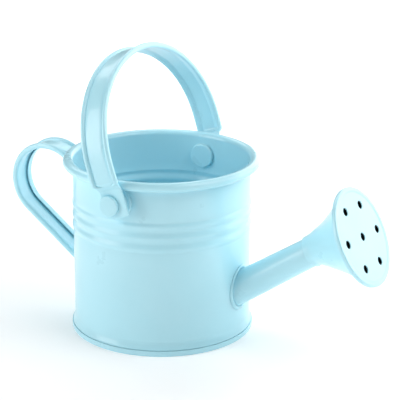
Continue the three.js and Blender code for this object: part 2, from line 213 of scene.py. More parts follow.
class StudioLook(PropertyGroup):
    """Camera, lights and floor"""

    azimuth: angle("Azimuth", "Direction of the camera round the can", 27.8)
    elevation: angle("Elevation", "Height of the camera as an angle", 18.26)
    roll: angle("Roll", "Turn of the camera about its own axis", 0.21)
    distance: length("Distance", "Distance of the camera from the middle of the can", 932.8)
    slide_right: length("Slide right", "Sideways distance of the camera from that line", 21.5)
    slide_up: length("Slide up", "Distance of the camera above that line", 22.7)
    lens: number("Lens", "Focal length in millimetres", 147.6)
    floor: colour("Floor", "Colour of the floor", (0.93, 0.93, 0.93))
    floor_glow: number("Floor glow", "Light that the floor gives off, as a light table does", 0.21)
    ambient: number("Ambient", "Strength of the light from all round", 0.06)
    reach: length("Lamp distance", "Distance of the softboxes from the can", 1050)
    front: number("Front lamp", "Power of the softbox in front on the left, in watts", 5.9)
    side: number("Side lamp", "Power of the softbox behind on the right, in watts", 4.6)
    key: number("Key lamp", "Power of the high softbox on the right, in watts", 5.6)
    back: number("Back lamps", "Power of the two softboxes at the back, in watts", 3.7)


# Meshes. Every piece is made in the place and pose that it has at rest.

def outline_normal(before, after):
    """The direction on the right of a step from one point to the next"""
    step = (after - before).normalized()
    return Vector((step.y, -step.x))


def sheet_outline(line, thickness):
    """The closed outline of a bent sheet from its middle line of (radius, height) points"""
    points = [Vector(p) for p in line]
    right, left = [], []
    for i, point in enumerate(points):
        into = outline_normal(points[max(i - 1, 0)], points[max(i, 1)])
        out = outline_normal(points[min(i, len(points) - 2)], points[min(i + 1, len(points) - 1)])
        side = (into + out).normalized()
        side *= thickness / 2 / side.dot(out)
        right.append(point + side)
        left.append(point - side)
    return [(max(p.x, 0.0), p.y) for p in right + left[::-1]]


def polar(turn, radius=1.0):
    """The point at that angle and radius in a plane"""
    return Vector((cos(turn), sin(turn))) * radius


def sloping(rise):
    """The direction away from the can that rises at that angle over the spout's side"""
    return Vector((cos(rise), 0, sin(rise)))


def arc(centre, radii, start, end, steps):
    """Points of an elliptical arc, from one angle to another in radians"""
    turns = [start + (end - start) * i / steps for i in range(steps + 1)]
    return [(centre[0] + radii[0] * cos(t), centre[1] + radii[1] * sin(t)) for t in turns]


def eased(points, reach=0.3, steps=4):
    """A line of points with its corners rounded"""
    result = [Vector(points[0])]
    for before, here, after in zip(points, points[1:], points[2:]):
        before, here, after = Vector(before), Vector(here), Vector(after)
        cut = min(reach, (here - before).length * 0.45, (after - here).length * 0.45)
        start = here + (before - here).normalized() * cut
        end = here + (after - here).normalized() * cut
        for i in range(steps + 1):
            t = i / steps
            result.append(start * (1 - t) ** 2 + here * (2 * t * (1 - t)) + end * t ** 2)
    return result + [Vector(points[-1])]


def skin(name, rings, looped=False):
    """A closed surface through rows of points. Open rows get a flat cap at each end."""
    count = len(rings[0])
    rows = len(rings)
    mesh = bmesh.new()
    verts = [[mesh.verts.new(p) for p in ring] for ring in rings]
    uv = mesh.loops.layers.uv.new("Along")
    for i in range(rows if looped else rows - 1):
        for j in range(count):
            corners = [(i, j), (i, j + 1), (i + 1, j + 1), (i + 1, j)]
            face = mesh.faces.new([verts[a % rows][b % count] for a, b in corners])
            face.smooth = True
            for loop, (a, b) in zip(face.loops, corners):
                loop[uv].uv = (a / rows, b / count)
    if not looped:
        mesh.faces.new(verts[0])
        mesh.faces.new(verts[-1])
    return finished_object(name, mesh)


def finished_object(name, mesh):
    """Merges coinciding points, turns the faces outwards and links the object"""
    bmesh.ops.remove_doubles(mesh, verts=mesh.verts, dist=1e-7)
    bmesh.ops.dissolve_degenerate(mesh, edges=mesh.edges, dist=1e-8)
    bmesh.ops.recalc_face_normals(mesh, faces=mesh.faces)
    data = bpy.data.meshes.new(name)
    mesh.to_mesh(data)
    mesh.free()
    made = bpy.data.objects.new(name, data)
    bpy.context.scene.collection.objects.link(made)
    return made


def lathe(name, outline, segments, place=None):
    """Turns a closed outline of (radius, height) points, or one that starts and ends on the axis, round Z"""
    turns = [2 * pi * i / segments for i in range(segments)]
    place = place or (lambda x, y, z: Vector((x, y, z)))
    rings = [[place(r * cos(t), r * sin(t), z) for r, z in outline] for t in turns]
    return skin(name, rings, looped=True)


def finish_piece(piece, body, node, material, crisp=38):
    """Shades, paints and hands a piece over to the frame"""
    piece.data.materials.clear()
    piece.data.materials.append(material)
    piece.data.polygons.foreach_set("material_index", [0] * len(piece.data.polygons))
    piece.data.set_sharp_from_angle(angle=radians(crisp))
    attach(piece, body)
    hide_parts(node)


# Node trees

def add_node(tree, kind, inputs=(), **options):
    """A node with its options and input values. An input value may be another node's output."""
    node = tree.nodes.new(kind)
    for key, value in options.items():
        setattr(node, key, value)
    for key, value in dict(inputs).items():
        if isinstance(value, bpy.types.NodeSocket):
            tree.links.new(value, node.inputs[key])
        else:
            node.inputs[key].default_value = value
    return node


def maths(add, operation, *values):
    """A maths node's output"""
    return add("ShaderNodeMath", enumerate(values), operation=operation).outputs[0]


def join(add, *parts):
    """One geometry out of several"""
    joined = add("GeometryNodeJoinGeometry")
    for part in parts:
        joined.id_data.links.new(part, joined.inputs[0])
    return joined.outputs[0]


def geometry_tree(name, sockets):
    """An empty geometry tree with named inputs, and its input node"""
    tree = bpy.data.node_groups.new(name, "GeometryNodeTree")
    tree.interface.new_socket("Geometry", in_out="INPUT", socket_type="NodeSocketGeometry")
    for label, kind in sockets.items():
        tree.interface.new_socket(label, in_out="INPUT", socket_type="NodeSocket" + kind)
    tree.interface.new_socket("Geometry", in_out="OUTPUT", socket_type="NodeSocketGeometry")
    return tree, tree.nodes.new("NodeGroupInput").outputs


def end_tree(tree, geometry, material):
    """Realizes what the tree made, paints it and gives it out"""
    real = add_node(tree, "GeometryNodeRealizeInstances", {"Geometry": geometry})
    painted = add_node(tree, "GeometryNodeSetMaterial", {"Geometry": real.outputs[0], "Material": material})
    add_node(tree, "NodeGroupOutput", {"Geometry": painted.outputs[0]})


def run_tree(piece, tree, values):
    """Turns the tree's result on the piece into the piece's own mesh"""
    modifier = piece.modifiers.new(tree.name, "NODES")
    modifier.node_group = tree
    for item in tree.interface.items_tree:
        if item.in_out == "INPUT" and item.name in values:
            modifier[item.identifier] = values[item.name]
    result = bpy.data.meshes.new_from_object(piece.evaluated_get(bpy.context.evaluated_depsgraph_get()))
    piece.modifiers.remove(modifier)
    piece.data = result


def wall_tree(material):
    """Presses ribs into the wall and cuts the opening into the spout"""
    tree, given = geometry_tree("Can Wall", {
        "Rib Count": "Int", "Rib Pitch": "Float", "Rib Depth": "Float", "Rib Top": "Float",
        "Opening Radius": "Float", "Opening Place": "Vector", "Opening Turn": "Float"})
    add = partial(add_node, tree)
    place = add("GeometryNodeInputPosition").outputs[0]
    height = add("ShaderNodeSeparateXYZ", {0: place}).outputs["Z"]
    below = maths(add, "MULTIPLY", maths(add, "SUBTRACT", given["Rib Count"], 0.5), given["Rib Pitch"])
    start = maths(add, "SUBTRACT", given["Rib Top"], below)
    turns = maths(add, "DIVIDE", maths(add, "SUBTRACT", height, start), given["Rib Pitch"])
    inside = maths(add, "MULTIPLY", maths(add, "GREATER_THAN", turns, 0.0),
                   maths(add, "LESS_THAN", turns, given["Rib Count"]))
    wave = maths(add, "MULTIPLY", maths(add, "COSINE", maths(add, "MULTIPLY", turns, 2 * pi)), -1.0)
    # The outermost valleys fade into the plain wall.
    edge = maths(add, "MINIMUM", turns, maths(add, "SUBTRACT", given["Rib Count"], turns))
    fade = maths(add, "MINIMUM", maths(add, "MULTIPLY", edge, 4.0), 1.0)
    swell = maths(add, "MULTIPLY", maths(add, "MULTIPLY", wave, given["Rib Depth"]),
                  maths(add, "MULTIPLY", inside, fade))
    outwards = add("ShaderNodeVectorMath", {0: place, 1: (1, 1, 0)}, operation="MULTIPLY").outputs[0]
    outwards = add("ShaderNodeVectorMath", {0: outwards}, operation="NORMALIZE").outputs[0]
    offset = add("ShaderNodeVectorMath", {0: outwards, "Scale": swell}, operation="SCALE").outputs[0]
    ribbed = add("GeometryNodeSetPosition", {"Geometry": given["Geometry"], "Offset": offset})
    cutter = add("GeometryNodeMeshCylinder", {
        "Vertices": 64, "Radius": given["Opening Radius"], "Depth": 30 * MM})
    turn = add("ShaderNodeCombineXYZ", {"Y": given["Opening Turn"]}).outputs[0]
    placed = add("GeometryNodeTransform", {
        "Geometry": cutter.outputs["Mesh"], "Translation": given["Opening Place"], "Rotation": turn})
    opened = add("GeometryNodeMeshBoolean", {
        "Mesh 1": ribbed.outputs[0], "Mesh 2": placed.outputs[0]}, operation="DIFFERENCE", solver="EXACT")
    end_tree(tree, opened.outputs["Mesh"], material)
    return tree


def spray_tree(material):
    """Punches a ring of holes and one in the middle, each with a rounded lip"""
    tree, given = geometry_tree("Spray Holes", {
        "Hole Count": "Int", "Hole Radius": "Float", "Ring Radius": "Float", "Ring Turn": "Float",
        "Face Height": "Float"})
    add = partial(add_node, tree)
    circle = add("GeometryNodeMeshCircle", {
        "Vertices": given["Hole Count"], "Radius": given["Ring Radius"]})
    turn = add("ShaderNodeCombineXYZ", {"Z": given["Ring Turn"]}).outputs[0]
    turned = add("GeometryNodeTransform", {"Geometry": circle.outputs[0], "Rotation": turn})
    middle = add("GeometryNodeMeshLine", {"Count": 1})
    spots = join(add, turned.outputs[0], middle.outputs[0])
    height = add("ShaderNodeCombineXYZ", {"Z": given["Face Height"]}).outputs[0]
    raised = add("GeometryNodeSetPosition", {"Geometry": spots, "Offset": height}).outputs[0]
    lip, sides = 0.14 * MM, 48
    wide = maths(add, "ADD", given["Hole Radius"], lip)
    punch = add("GeometryNodeMeshCylinder", {"Vertices": sides, "Radius": wide, "Depth": 6 * MM})
    punches = add("GeometryNodeInstanceOnPoints", {"Points": raised, "Instance": punch.outputs["Mesh"]})
    punches = add("GeometryNodeRealizeInstances", {"Geometry": punches.outputs[0]})
    punched = add("GeometryNodeMeshBoolean", {
        "Mesh 1": given["Geometry"], "Mesh 2": punches.outputs[0]}, operation="DIFFERENCE", solver="EXACT")
    path = add("GeometryNodeCurvePrimitiveCircle", {"Resolution": sides, "Radius": wide})
    section = add("GeometryNodeCurvePrimitiveCircle", {"Resolution": 12, "Radius": lip * 1.25})
    ring = add("GeometryNodeCurveToMesh", {"Curve": path.outputs[0], "Profile Curve": section.outputs[0]})
    ring = add("GeometryNodeSetShadeSmooth", {"Geometry": ring.outputs[0]})
    lips = add("GeometryNodeInstanceOnPoints", {"Points": raised, "Instance": ring.outputs[0]})
    end_tree(tree, join(add, punched.outputs["Mesh"], lips.outputs[0]), material)
    return tree


def new_material(name, **values):
    """A material with its tree, its shader with constant values set, and its place on the object"""
    material = bpy.data.materials.new(name)
    material.use_nodes = True
    shader = material.node_tree.nodes["Principled BSDF"]
    for label, value in values.items():
        shader.inputs[label.replace("_", " ")].default_value = value
    place = add_node(material.node_tree, "ShaderNodeTexCoord").outputs["Object"]
    return material, material.node_tree, shader, place


def noise(add, place, scale, detail, **more):
    """The height of a cloud of noise"""
    return add("ShaderNodeTexNoise", {"Vector": place, "Scale": scale, "Detail": detail, **more}).outputs["Fac"]


def enamel(name, streaks=0.0):
    """Gloss enamel over sheet metal. Streaks run along a strap and are read from its own map."""
    if name in bpy.data.materials:
        return bpy.data.materials[name]
    look = bpy.context.scene.can_enamel
    material, tree, shader, place = new_material(name, Coat_Weight=look.coat, Coat_Roughness=0.07, IOR=1.5)
    add = partial(add_node, tree)
    cloud = noise(add, place, 45.0, 4.0, Roughness=0.55)
    share = add("ShaderNodeMapRange", {"Value": cloud, "From Min": 0.35, "From Max": 0.65})
    tone = add("ShaderNodeMix", {
        "Factor": share.outputs[0], "A": (*look.base, 1), "B": (*look.deep, 1)}, data_type="RGBA")
    tree.links.new(tone.outputs["Result"], shader.inputs["Base Color"])
    gloss = add("ShaderNodeMapRange", {
        "Value": cloud, "From Min": 0.3, "From Max": 0.7,
        "To Min": look.roughness - 0.03, "To Max": look.roughness + 0.04})
    tree.links.new(gloss.outputs[0], shader.inputs["Roughness"])
    heights = [(noise(add, place, 1 / look.wave_size, 1.0), look.wave),
               (noise(add, place, 1 / look.peel_size, 2.0), look.peel)]
    if streaks:
        along = add("ShaderNodeUVMap", uv_map="Along").outputs[0]
        drawn = add("ShaderNodeMapping", {"Vector": along, "Scale": (3, 150, 1)})
        heights.append((noise(add, drawn.outputs[0], 1.0, 2.0), streaks))
    below = {}
    for height, depth in heights:
        bump = add("ShaderNodeBump", {"Height": height, "Strength": 1.0, "Distance": depth, **below})
        below = {"Normal": bump.outputs[0]}
    tree.links.new(bump.outputs[0], shader.inputs["Normal"])
    return material


def paint_shade_inside(piece, first):
    """Gives the piece's faces from the first one on dull steel, bare of enamel, coloured near black as painted shade
    inside the rose
    """
    material, tree, shader, place = new_material("bare steel", Metallic=0.6, Roughness=0.6)
    add = partial(add_node, tree)
    # Near-black tones are painted shade for the dark inside of the rose seen through the holes, mottled at random
    dark, light = (0.030, 0.034, 0.038, 1), (0.055, 0.060, 0.064, 1)
    mottled_shade = noise(add, place, 120.0, 4.0)
    tone = add("ShaderNodeMix", {"Factor": mottled_shade, "A": dark, "B": light}, data_type="RGBA")
    tree.links.new(tone.outputs["Result"], shader.inputs["Base Color"])
    piece.data.materials.append(material)
    for face in piece.data.polygons[first:]:
        face.material_index = 1


# Strap stock

def strap_section(strap, width, gap, roll=1.0, thin=1.0):
    """Half of the strap's outline, from the middle of its inner face round the edge to the middle of its outer face.

    Points are (distance from the middle, height towards the handle's outside). Roll 0 is flat sheet.
    The gap is between the web and the free edge of the hem.
    """
    half, web, sheet = width / 2, strap.web / 2, strap.curl_sheet
    radii = (strap.bead_width / 2, strap.roll_height / 2)
    middle = (half - radii[0], -strap.roll_drop)
    hollow = (radii[0] - sheet, radii[1] - sheet)
    rise = middle[0] - radii[0]
    inner = [(0, -web), (rise * 0.5, -web), (rise * 0.85, -web), (rise, -web * 0.98), (rise + 0.35 * MM, -web * 0.8)]
    inner += arc(middle, hollow, radians(170), radians(-90), 14)
    # The hem runs back over the web from the bottom of the bead to its free edge.
    low, end = middle[1] - radii[1], half - strap.hem
    edge = max(low, -web - gap - sheet)
    behind = min(edge + sheet, -web - 0.04 * MM)
    inner += [(end + 0.4 * MM, behind), (end + 0.1 * MM, behind - sheet * 0.04), (end, (behind + edge) / 2)]
    inner += [(end + 0.12 * MM, edge + 0.06 * MM), (end + 0.5 * MM, edge), ((end + middle[0]) / 2, (edge + low) / 2)]
    inner += arc(middle, radii, radians(-90), 0, 9)
    outer = arc(middle, radii, radians(8), radians(168), 15)
    outer += [(rise - 0.05 * MM, web - 0.3 * MM), (rise - 0.4 * MM, web - 0.18 * MM), (rise - 0.9 * MM, web),
              (rise * 0.5, web), (0, web)]
    corner = 0.3 * MM
    flat_inner = [(i / (len(inner) - 3) * (half - corner), -web) for i in range(len(inner) - 2)]
    flat_inner += [(half - 0.08 * MM, -web + 0.12 * MM), (half, -0.1 * MM)]
    flat_outer = [(half, 0.1 * MM), (half - 0.08 * MM, web - 0.12 * MM)]
    flat_outer += [((len(outer) - 3 - i) / (len(outer) - 3) * (half - corner), web) for i in range(len(outer) - 2)]
    rolled, flat = inner + outer, flat_inner + flat_outer
    return [(f[0] + (r[0] - f[0]) * roll, (f[1] + (r[1] - f[1]) * roll) * thin) for r, f in zip(rolled, flat)]


def strap_rings(strap, stations, gaps, place, wall_radius):
    """Rows of points for a strap along stations, each a dictionary with its point in the handle's plane"""
    points = [Vector(s["at"]) for s in stations]
    rings = []
    for i, station in enumerate(stations):
        before, after = points[max(i - 1, 0)], points[min(i + 1, len(points) - 1)]
        side = outline_normal(before, after)
        width = station.get("width", STRAP_WIDTH)
        shape = (station.get("roll", 1.0), station.get("thin", 1.0))
        half, other = (strap_section(strap, width, gap, *shape) for gap in gaps)
        whole = half + [(-a, d) for a, d in other[-2:0:-1]]
        ring = []
        for across, height in whole:
            height += station.get("curve", 0.0) * across ** 2 / (2 * wall_radius)
            spot = points[i] + side * height
            ring.append(place(spot.x, spot.y, across))
        rings.append(ring)
    return rings


def between(a, b, steps, **extra):
    """Stations on a straight line after point a, up to point b"""
    a, b = Vector(a), Vector(b)
    return [{"at": a.lerp(b, (i + 1) / steps), **extra} for i in range(steps)]


# Operators

class CAN_OT_body_wall(Operator):
    """Straight sheet wall with a curled rim, ribs, a flared foot and the spout's opening"""

    bl_idname = "wateringcan.body_wall"
    bl_label = "Body Wall"

    def execute(self, context):
        can, spout = settings("body", "spout")
        middle = can.radius - can.sheet / 2
        flare = can.flare_radius - can.sheet / 2
        groove = middle + 0.45 * MM
        curl = (can.curl_half_width - can.sheet / 2, can.curl_half_height - can.sheet / 2)
        curl_middle = (RIM_RADIUS - can.curl_half_width, WALL_HEIGHT - can.curl_half_height)
        shoulder = FOOT_RADIUS - 0.75 * MM
        foot = [(groove, WALL_FOOT), (groove, HEM_HEIGHT - 0.5 * MM), (shoulder - 0.5 * MM, HEM_HEIGHT + 0.25 * MM),
                (shoulder, HEM_HEIGHT + 0.3 * MM), (flare, HEM_HEIGHT + 1.0 * MM),
                (middle + 0.3 * MM, can.flare_top - 1.4 * MM), (middle, can.flare_top)]
        rib_bottom = can.rib_top - (can.rib_count - 0.5) * can.rib_pitch
        rib_end = rib_bottom + can.rib_count * can.rib_pitch
        plain = 4 * MM
        line = eased(foot + [(middle, can.flare_top + plain)], 0.3 * MM)
        line += [(middle, can.flare_top + plain + (rib_bottom - can.flare_top - plain) * (i + 1) / 12)
                 for i in range(12)]
        line += [(middle, rib_bottom + (rib_end - rib_bottom) * (i + 1) / 48) for i in range(48)]
        line += [(middle, rib_end + (curl_middle[1] - rib_end) * (i + 1) / 6) for i in range(5)]
        line += arc(curl_middle, curl, pi, -can.curl_end, 40)
        wall = lathe("can_wall", sheet_outline(line, can.sheet), can.segments)
        paint = enamel("body enamel")
        run_tree(wall, wall_tree(paint), {
            "Rib Count": can.rib_count, "Rib Pitch": can.rib_pitch, "Rib Depth": can.rib_depth,
            "Rib Top": can.rib_top, "Opening Radius": spout.root_radius - can.sheet,
            "Opening Place": (can.radius, 0, spout.root_height), "Opening Turn": pi / 2 - spout.rise})
        finish_piece(wall, "can", "body_wall", paint)
        return {"FINISHED"}


class CAN_OT_base_panel(Operator):
    """Recessed base with its edge crimped round the foot of the wall"""

    bl_idname = "wateringcan.base_panel"
    bl_label = "Base Panel"

    def execute(self, context):
        can = context.scene.can_body
        plate = can.base_recess + can.sheet / 2
        outside = FOOT_RADIUS - can.sheet / 2
        inside = outside - 2.1 * MM
        line = [(r, plate) for r in (0, inside * 0.3, inside * 0.7, inside - 2 * MM, inside - 0.6 * MM)]
        foot = [(inside, plate - 0.2 * MM), (inside + 0.2 * MM, can.sheet / 2), (outside - 0.5 * MM, can.sheet / 2),
                (outside - 0.1 * MM, can.sheet / 2 + 0.25 * MM), (outside, can.sheet / 2 + 0.8 * MM),
                (outside, HEM_HEIGHT - 0.5 * MM), (outside - 0.12 * MM, HEM_HEIGHT)]
        line = line[:-1] + eased(line[-1:] + foot, 0.35 * MM)
        base = lathe("can_base", sheet_outline(line, can.sheet), can.segments)
        finish_piece(base, "can", "base_panel", enamel("body enamel"))
        return {"FINISHED"}


class CAN_OT_pivots(Operator):
    """Rivets, stepped spacers and backing washers of both bail pivots"""

    bl_idname = "wateringcan.pivots"
    bl_label = "Bail Pivots"

    def execute(self, context):
        can, bail, strap = settings("body", "bail", "strap")
        paint = enamel("fitting enamel")
        lug_out = bail.lug_reach + strap.web / 2 * bail.lug_gauge
        lug_in = bail.lug_reach - strap.web / 2 * bail.lug_gauge

        def on_wall(surface, wrap):
            """Places a turned piece on this side's pivot, bent to the wall's curve by its share of wrap"""
            def at(x, y, out):
                dish = surface - sqrt(max(surface ** 2 - x ** 2, 0))
                return Vector((side * x, side * (out - dish * wrap(out)), y + PIVOT.z))
            return at

        def turned(name, node, outline, place):
            """Turns a fitting's outline on its pivot and hands it over"""
            piece = lathe(f"{name}_{label}", outline, 72, place)
            finish_piece(piece, "can", f"{node}_{label}", paint, ROUND_CRISP)

        for label, side in (("right", -1), ("left", 1)):
            flat = on_wall(can.radius, lambda out: 0.0)
            head, top = lug_out + GAP, HEAD_REACH
            clinch, neck = CLINCH_REACH, CLINCH_REACH + CLINCH_THICKNESS
            clinched = WASHER_RADIUS - 0.1 * MM
            rivet = [(0, clinch), (3.0 * MM, clinch), (clinched - 1.6 * MM, clinch + 0.06 * MM)]
            rivet += arc((clinched - 0.8 * MM, clinch + 0.76 * MM), (0.8 * MM, 0.66 * MM), -pi / 2, 0, 7)
            rivet += [(clinched, neck), (SHANK_RADIUS, neck), (SHANK_RADIUS, head)]
            rivet += [(HEAD_RADIUS - 0.15 * MM, head), (HEAD_RADIUS, head + 0.2 * MM)]
            rivet += arc((HEAD_RADIUS - 0.95 * MM, top - 0.85 * MM), (0.95 * MM, 0.75 * MM), 0, pi / 2, 8)
            rivet += [(HEAD_RADIUS - 2.2 * MM, top - 0.04 * MM), (1.6 * MM, top), (0, top)]
            turned("rivet", "bail_rivet", rivet, flat)

            flange = can.radius + GAP
            step, crown = flange + FLANGE_THICKNESS, lug_in - GAP
            waist = SPACER_RADIUS - 2.3 * MM
            body = [(BORE_RADIUS, flange), (SPACER_RADIUS - 0.1 * MM, flange)]
            body += arc((SPACER_RADIUS - 0.6 * MM, step - 0.55 * MM), (0.6 * MM, 0.55 * MM), 0, pi / 2, 6)
            body += arc((waist + 0.8 * MM, step + 0.8 * MM), (0.8 * MM, 0.8 * MM), -pi / 2, -pi, 6)
            body += arc((waist - 0.5 * MM, crown - 0.5 * MM), (0.5 * MM, 0.5 * MM), 0, pi / 2, 6)
            body += [(BORE_RADIUS, crown)]
            reach = crown - flange
            wrapped = on_wall(flange, lambda out: 1 - min(max((out - flange) / reach, 0), 1))
            limit = WALL_HEIGHT - 2 * can.curl_half_height - GAP

            def under_curl(x, y, out):
                """The flange's top is flat where it passes under the rim's curl"""
                spot = wrapped(x, y, out)
                spot.z = min(spot.z, limit)
                return spot

            turned("spacer", "pivot_spacer", body, under_curl)

            wall = can.radius - can.sheet - GAP
            front = neck + GAP
            ring = [(BORE_RADIUS, wall), (BORE_RADIUS, front), (WASHER_RADIUS - 0.3 * MM, front)]
            ring += arc((WASHER_RADIUS - 0.2 * MM, front + 0.2 * MM), (0.2 * MM, 0.2 * MM), -pi / 2, 0, 4)
            ring += [(WASHER_RADIUS, wall)]
            bent = on_wall(wall, lambda out: 1.0 if out > wall - GAP else 0.4)
            turned("washer", "backing_washer", ring, bent)
        return {"FINISHED"}


class CAN_OT_bail(Operator):
    """Bail strap with open rolled edges and a flat lug at each end"""

    bl_idname = "wateringcan.bail"
    bl_label = "Bail Handle"

    def execute(self, context):
        bail, strap, can = settings("bail", "strap", "body")
        corner = bail.lug_corner

        def lug(up, **extra):
            return {"at": (bail.lug_reach + up * LUG_SPLAY, up), "width": bail.lug_width, "roll": 0.0,
                    "thin": bail.lug_gauge, **extra}

        leg = []
        for i in range(13):
            turn = i / 12 * pi / 2
            leg.append(lug(-bail.lug_bottom + corner * (1 - cos(turn)),
                           width=bail.lug_width - 2 * corner * (1 - sin(turn)),
                           thin=min(1, 0.7 + i * 0.15) * bail.lug_gauge))
        leg += [lug(up * MM) for up in (-2, 0, 2, 4, 6)]
        foot = Vector(leg[-1]["at"])
        crease = Vector((bail.lug_reach + 2.3 * MM, bail.crease))
        knee = Vector((bail.lug_reach + 0.6 * MM, bail.crease - 2.2 * MM))
        bent = eased([foot, knee, crease, crease + Vector((1.5 * MM, 1.9 * MM)),
                      (bail.arch_half_width, bail.crease + 6 * MM),
                      (bail.arch_half_width, bail.arch_centre)], 0.6 * MM, 6)
        for point in bent[1:-1]:
            roll = min(max((point.y - bail.crease) / (0.9 * MM), 0), 1)
            leg.append({"at": point, "width": bail.lug_width + (STRAP_WIDTH - bail.lug_width) * roll,
                        "roll": roll, "thin": bail.lug_gauge + (1 - bail.lug_gauge) * roll})
        arch = [{"at": point} for point in arc(
            (0, bail.arch_centre), (bail.arch_half_width, bail.arch_rise), 0, pi, 120)]
        other = [{**s, "at": (-s["at"][0], s["at"][1])} for s in leg[::-1]]
        swing = Matrix.Translation(PIVOT) @ Matrix.Rotation(-bail.lean, 4, "Y")

        def place(y, z, across):
            return swing @ Vector((bail.offset + across, y, z))

        rings = strap_rings(strap, leg + arch + other, (strap.bail_gap, strap.bail_back_gap), place, can.radius)
        piece = skin("bail_strap", rings)
        paint = enamel("handle enamel", STREAK)
        finish_piece(piece, "bail", "bail_handle", paint)
        return {"FINISHED"}


class CAN_OT_rear_handle(Operator):
    """Loop of the same strap with a tab at each end that lies on the wall"""

    bl_idname = "wateringcan.rear_handle"
    bl_label = "Rear Handle"

    def execute(self, context):
        handle, strap, can = settings("rear_handle", "strap", "body")
        radius, start, slope, bend = handle.loop_radius, handle.loop_start, handle.return_slope, handle.bend_radius
        tab = -(can.radius + GAP + strap.web / 2)
        # The strap's edges stand out of its middle by this much.
        edge = 1.4 * MM
        loop = Vector((HANDLE_REACH, HANDLE_TOP)) + Vector((radius + edge, -radius - edge))

        def on_loop(turn):
            return loop + polar(turn, radius)

        first = on_loop(start)
        lead = (tab - first.x) / sin(start)
        corner = first.y - lead * cos(start)
        tuck = bend * tan(start / 2)

        def tab_end(height, i, **extra):
            """One of the stations round a tab's corners. At step 0 the tab ends."""
            turn = i / 8 * pi / 2
            return {"at": (tab, height + TAB_CORNER * (1 - cos(turn))), "thin": min(1, 0.6 + 0.2 * i),
                    "width": STRAP_WIDTH - 2 * TAB_CORNER * (1 - sin(turn)), "roll": 0.0, **extra}

        stations = [tab_end(handle.upper_tab, i, curve=1.0) for i in range(9)]
        stations += between(stations[-1]["at"], (tab, corner - tuck), 4, roll=0.0, curve=1.0)
        for i in range(1, 9):
            at = Vector((tab - bend, corner - tuck)) + polar(start * i / 8, bend)
            stations.append({"at": at, "roll": 0.5 * max(0, i - 4) / 4, "curve": 1 - i / 8})
        stations += between(stations[-1]["at"], first, 5)
        stations[-5]["roll"] = 0.85
        end, steps = 1.5 * pi - slope, 90
        stations += [{"at": on_loop(start + (end - start) * i / steps)} for i in range(1, steps)]
        last = on_loop(end)
        reach = (tab - last.x) / cos(slope)
        turn = pi / 2 - slope
        tuck = bend * tan(turn / 2)
        down = Vector((cos(slope), -sin(slope)))
        stations += [{"at": last}] + between(last, last + down * (reach - tuck - 3 * MM), 24)
        stations += between(stations[-1]["at"], last + down * (reach - tuck), 4)
        for station, roll in zip(stations[-3:], (0.8, 0.4, 0.1)):
            station["roll"] = roll
        heel = Vector((tab - bend, last.y - reach * sin(slope) - tuck))
        for i in range(1, 9):
            stations.append({"at": heel + polar(turn * (1 - i / 8), bend), "roll": 0.0, "curve": -i / 8})
        low = heel.y - handle.lower_tab
        stations += between((tab, heel.y), (tab, low + TAB_CORNER), 5, roll=0.0, curve=-1.0)
        stations += [tab_end(low, 8 - i, curve=-1.0) for i in range(1, 9)]
        gaps = (strap.handle_gap, strap.handle_gap)
        rings = strap_rings(strap, stations, gaps, lambda x, z, across: Vector((x, across, z)), can.radius)
        piece = skin("rear_strap", rings)
        paint = enamel("handle enamel", STREAK)
        finish_piece(piece, "can", "rear_handle", paint)
        return {"FINISHED"}


class CAN_OT_spout(Operator):
    """Tapered spout tube with a solder fillet that follows the wall"""

    bl_idname = "wateringcan.spout"
    bl_label = "Spout Tube"

    def execute(self, context):
        can, spout = settings("body", "spout")
        out = sloping(spout.rise)
        across = Vector((0, 1, 0))
        up = out.cross(across)
        root = Vector((can.radius, 0, spout.root_height))
        # The tube goes this far into the cone's neck.
        end = spout.length + 2.2 * MM
        taper = (spout.root_radius - spout.end_radius) / spout.length

        def at(turn, radius, along):
            return root + out * along + (across * cos(turn) + up * sin(turn)) * radius

        def wall_along(turn, radius, surface):
            """How far along the tube a line at that radius meets the wall's cylinder"""
            spot = at(turn, radius, 0)
            return (sqrt(surface ** 2 - spot.y ** 2) - spot.x) / out.x

        rings = []
        sides = 96
        surface = can.radius + GAP
        for i in range(sides):
            turn = 2 * pi * i / sides
            ring = []
            for k in range(13):
                # A round bead of solder from the wall over to the tube
                sweep = k / 12 * pi * 0.94
                radius = spout.root_radius + spout.fillet / 2 * (1 + cos(sweep))
                lift = spout.fillet * 0.62 * sin(sweep) + 0.05 * MM
                ring.append(at(turn, radius, wall_along(turn, radius, surface) + lift))
            start = wall_along(turn, spout.root_radius, surface) + spout.fillet * 0.35
            for k in range(1, 25):
                along = start + (end - start) * k / 24
                ring.append(at(turn, spout.root_radius - taper * max(along, 0), along))
            inner = [(end, spout.end_radius - can.sheet)]
            inner += [(end * (1 - k / 6), spout.end_radius - can.sheet + taper * end * k / 6) for k in range(1, 6)]
            ring += [at(turn, radius, along) for along, radius in inner]
            bore = spout.root_radius - can.sheet
            ring.append(at(turn, bore, wall_along(turn, bore, surface)))
            rim = spout.root_radius + spout.fillet
            ring.append(at(turn, rim, wall_along(turn, rim, surface)))
            rings.append(ring)
        piece = skin("spout_tube_sheet", rings, looped=True)
        paint = enamel("spout enamel")
        finish_piece(piece, "can", "spout_tube", paint, ROUND_CRISP)
        return {"FINISHED"}


